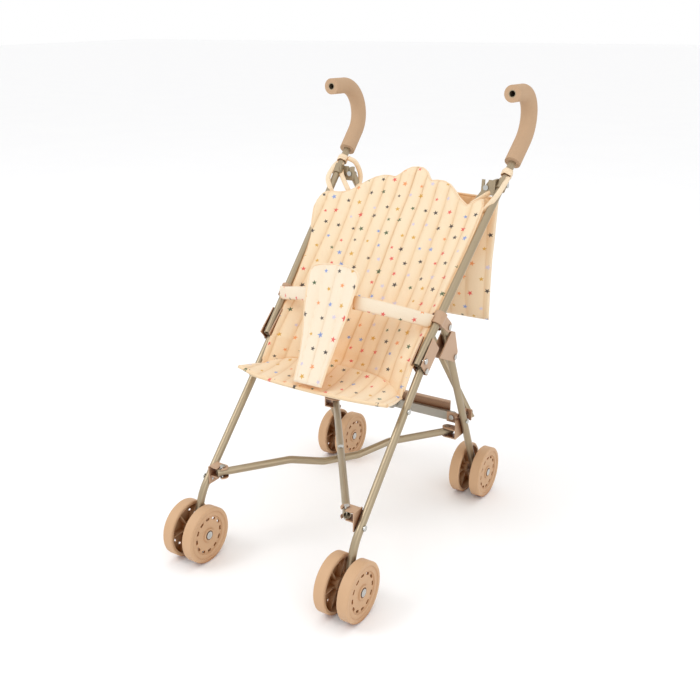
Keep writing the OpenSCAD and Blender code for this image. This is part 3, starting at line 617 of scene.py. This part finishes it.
def panel_grid():
    """The panel between the pan's front hem and the straps, wider towards its top."""
    u = np.linspace(-1, 1, PANEL_U)[:, None]
    t = np.linspace(0, 1, PANEL_V)[None, :]
    half = np.interp(t, PANEL_T, PANEL_W) * MM
    crown = 1 - 0.03 * np.abs(u) ** 2.5 * smoothstep(0.85, 1, t)
    x = u * half
    s = t * crown * panel_len
    lift = 1.5 * MM * np.sin(math.pi * t) - 5.0 * MM * (u ** 2) * smoothstep(0.25, 0.8, t)
    P = base + s[..., None] * along - (lift[..., None]) * face
    P = P + x[..., None] * np.array([1.0, 0, 0])
    return P, x, s


P, sx, ss = panel_grid()
height = quilt(sx / MM, PANEL_CHANNEL, 2.2)
border = smoothstep(1.0, 0.88, np.abs(np.linspace(-1, 1, PANEL_U))[:, None] * np.ones(ss.shape))
puff = (height * 1.5 * MM + wrinkle(sx.shape, sx, ss, 0.6 * MM, 9)) * (0.3 + 0.7 * border)
panel = shell("front_panel_cloth", P, 2.4 * MM, np.stack([sx + 0.5, ss + 0.1], -1),
              [CLOTH_LIGHT, CLOTH_LIGHT], puff)
soft(panel, "front_panel")
rim = np.concatenate([P[0, :], P[:, -1], P[-1, ::-1]])
panel_rim = sweep("front_panel_rim", rim[::2], 1.25 * MM, CLOTH_PLAIN, sides=8, flat=0.8)
soft(panel_rim)


# ---------------------------------------------------------------- waist straps
def ribbon(name, centre, width, thick, material, up, body="frame_left", fold=True, nodes=()):
    """A flat band of cloth along a smooth path, with its width along up."""
    c = smooth_path(centre, 36)
    tan = np.gradient(c, axis=0)
    tan /= np.linalg.norm(tan, axis=1, keepdims=True)
    upv = np.array([np.array(up, float)] * len(c))
    upv = upv - (upv * tan).sum(1, keepdims=True) * tan
    upv /= np.linalg.norm(upv, axis=1, keepdims=True)
    v = np.linspace(-0.5, 0.5, 9)
    P = c[:, None, :] + v[None, :, None] * width * upv[:, None, :]
    length = np.concatenate([[0], np.cumsum(np.linalg.norm(np.diff(c, axis=0), axis=1))])
    uv = np.stack([np.repeat(length[:, None], 9, 1) + 0.2,
                   np.repeat((v * width)[None, :], len(c), 0) + 0.7], -1)
    puff = np.cos(v * math.pi)[None, :] * 0.9 * MM + wrinkle(
        (len(c), 9), length[:, None] * np.ones((1, 9)), v[None, :] * width * np.ones((len(c), 1)),
        0.6 * MM, len(name))
    obj = shell(name, P, thick, uv, [material, material], puff)
    soft(obj, *nodes, body=body, fold=fold)
    return obj


for side, label in ((1, "right"), (-1, "left")):
    path = [pt(side * 28, -12, 66), pt(side * 42, -9, 65), pt(side * 72, 8, 57)]
    if side > 0:
        path += [pt(97, 29, 47), pt(106, 39, 42)]
    else:
        path += [pt(-97, 25, 49), pt(-109, 34, 46), pt(-117, 42, 43)]
    ribbon("waist_strap_" + label + "_cloth", path, 16.5 * MM, 2.2 * MM, CLOTH_LIGHT, (0, 0.1, 1),
           nodes=("waist_strap_" + label,))

# ---------------------------------------------------------------- bag
BAG_U, BAG_V = 97, 40
front_y, rear_y = bag_lo[1] + 2 * MM, bag_hi[1] - 1 * MM
bottom, rim_z = bag_lo[2] + 1 * MM, bag_hi[2] - 1 * MM


def bag_face(depth_sign):
    """One face of the bag: depth_sign 1 is the rear one and -1 the front one."""
    u = np.linspace(-1, 1, BAG_U)[:, None]
    t = np.linspace(0, 1, BAG_V)[None, :]
    half = 101 + 3.5 * t - 2.0 * np.sin(math.pi * t)
    x = u * half
    z = bottom + (rim_z - bottom) * t - 0.004 * np.sin(math.pi * t)
    z = z - 0.004 * (1 - u ** 2) * smoothstep(0.7, 1, t) * depth_sign
    belly = (1 - np.abs(u) ** 5) * np.minimum(1, 4 * t + 0.25)
    belly = belly * (0.72 + 0.28 * np.sin(math.pi * (1 - t)))
    foot = np.sqrt(np.clip(1 - (1 - np.minimum(1, 6 * t + 0.12)) ** 2, 0, 1))
    mid = (front_y + rear_y) / 2
    y = mid + depth_sign * (rear_y - front_y) * 0.5 * belly * foot
    x, y, z = np.broadcast_arrays(x, y, z)
    return np.stack([x * MM, y, z], -1), x, z


for sign, label in ((1, "rear"), (-1, "front")):
    P, gx, gz = bag_face(sign)
    if sign > 0:
        P, gx, gz = P[::-1], gx[::-1], gz[::-1]
    puff = quilt(gx, BAG_CHANNEL) * 2.0 * MM + wrinkle(gx.shape, gx * MM, gz, 1.2 * MM, 21 + sign)
    piece = shell("bag_" + label, P, 1.8 * MM, np.stack([gx * MM + 0.5, gz + 0.3], -1),
                  [CLOTH_BAG, LINING_PAINTED_SHADE], puff)
    soft(piece, *(("bag",) if sign > 0 else ()))
    edge = sweep("bag_rim_" + label, P[:, -1], 1.5 * MM, CLOTH_PLAIN, sides=8, up=(0, 0, 1))
    soft(edge)

# ---------------------------------------------------------------- ties at the top corners
for side, label in ((1, "right"), (-1, "left")):
    body = "frame_right" if side > 0 else "frame_left"
    axis = handle(290, side) - handle(270, side)
    axis /= np.linalg.norm(axis)
    across = np.cross(axis, np.array([0, 0, 1.0]))
    across /= np.linalg.norm(across)
    upv = np.cross(across, axis)
    mid = handle(281, side)
    nu, nv = 33, 7
    loop_r = 6.3 * MM
    a = np.linspace(0, 2 * math.pi, nu)[:, None]
    w = np.linspace(-4.2, 4.2, nv)[None, :] * MM
    r = loop_r + 0.5 * MM * np.sin(5 * a) * np.ones((1, nv))
    P = mid + (r * np.cos(a))[..., None] * across + (r * np.sin(a))[..., None] * upv \
        + (w * np.ones((nu, 1)))[..., None] * axis
    loop = shell("tie_loop_" + label, P, 1.3 * MM,
                 np.stack([a * loop_r * np.ones((1, nv)), w * np.ones((nu, 1)) + 0.5], -1),
                 [CLOTH_PLAIN, CLOTH_PLAIN])
    soft(loop, "tie_" + label, body=body, fold=False)
    corner = pt(side * 110, 158, 152)
    inner = pt(side * 90, 166, 159)
    strands = [
        [mid + np.array([side * 4 * MM, -5 * MM, -3 * MM]), handle(262, side, 5.5, 5),
         handle(240, side, 3.5, 7.5), corner],
        [mid + np.array([-side * 2 * MM, -6 * MM, -4 * MM]), pt(side * 113, 184, 178), inner],
    ]
    if side < 0:
        strands.append([mid + np.array([7 * MM, 2 * MM, 2 * MM]), pt(-104, 206, 192),
                        pt(-95, 204, 176), pt(-90, 190, 163), pt(-86, 170, 161)])
    for k, line in enumerate(strands):
        ribbon("tie_%s_%d" % (label, k), line, 6.5 * MM, 1.3 * MM, CLOTH_PLAIN, (0.85, 0.5, 0.1),
               body=body, fold=False)

# ---------------------------------------------------------------- stage, light, camera
floor = bpy.data.meshes.new("floor")
floor.from_pydata([(-9, -9, 0), (9, -9, 0), (9, 60, 0), (-60, 60, 0)], [], [(0, 1, 2, 3)])
floor_obj = bpy.data.objects.new("floor", floor)
bpy.context.scene.collection.objects.link(floor_obj)
g = Graph("floor_pale")
co = g.node("ShaderNodeTexCoord").outputs["Object"]
pale = g.mix(g.noise(co, 3.0), lin(252, 252, 252), lin(249, 249, 250))
floor.materials.append(g.finish(Base_Color=pale, Roughness=0.9, Specular_IOR_Level=0.1))

world = bpy.data.worlds.new("studio")
bpy.context.scene.world = world
world.use_nodes = True
world.node_tree.nodes["Background"].inputs[0].default_value = (1, 1, 1, 1)
world.node_tree.nodes["Background"].inputs[1].default_value = 1.0
bpy.context.scene.view_settings.view_transform = "Standard"


def area_light(name, place, target, size, power):
    """A square light at place that faces target, with its power in watts."""
    data = bpy.data.lights.new(name, "AREA")
    data.size = size
    data.energy = power
    obj = bpy.data.objects.new(name, data)
    bpy.context.scene.collection.objects.link(obj)
    obj.location = place
    obj.rotation_euler = (Vector(target) - Vector(place)).to_track_quat("-Z", "Y").to_euler()


area_light("key", (-1.3, -1.5, 2.2), (0, 0, 0.25), 1.0, 16)
area_light("fill", (1.8, -1.2, 1.3), (0, 0, 0.3), 1.6, 8)
area_light("top", (0.2, 0.6, 2.4), (0, 0, 0.2), 1.8, 4)

yaw, pitch, roll = 0.5579134, 0.3441905, 0.0047217
camera_place = Vector((0.54899, -0.84939 + Y0 - 0.00381, 0.60812))
SENSOR = 36
FOCAL = 1.26391429                   # focal length as a share of the sensor's width
level = math.cos(pitch)
forward = Vector((-math.sin(yaw) * level, math.cos(yaw) * level, -math.sin(pitch)))
right = Vector((math.cos(yaw), math.sin(yaw), 0))
up = right.cross(forward)
cam_right = math.cos(roll) * right + math.sin(roll) * up
cam_up = -math.sin(roll) * right + math.cos(roll) * up
camera = bpy.data.cameras.new("camera")
camera.sensor_width = SENSOR
camera.lens = FOCAL * SENSOR
cam = bpy.data.objects.new("camera", camera)
bpy.context.scene.collection.objects.link(cam)
matrix = Matrix((cam_right, cam_up, -forward)).transposed().to_4x4()
matrix.translation = camera_place
cam.matrix_world = matrix
bpy.context.scene.camera = cam
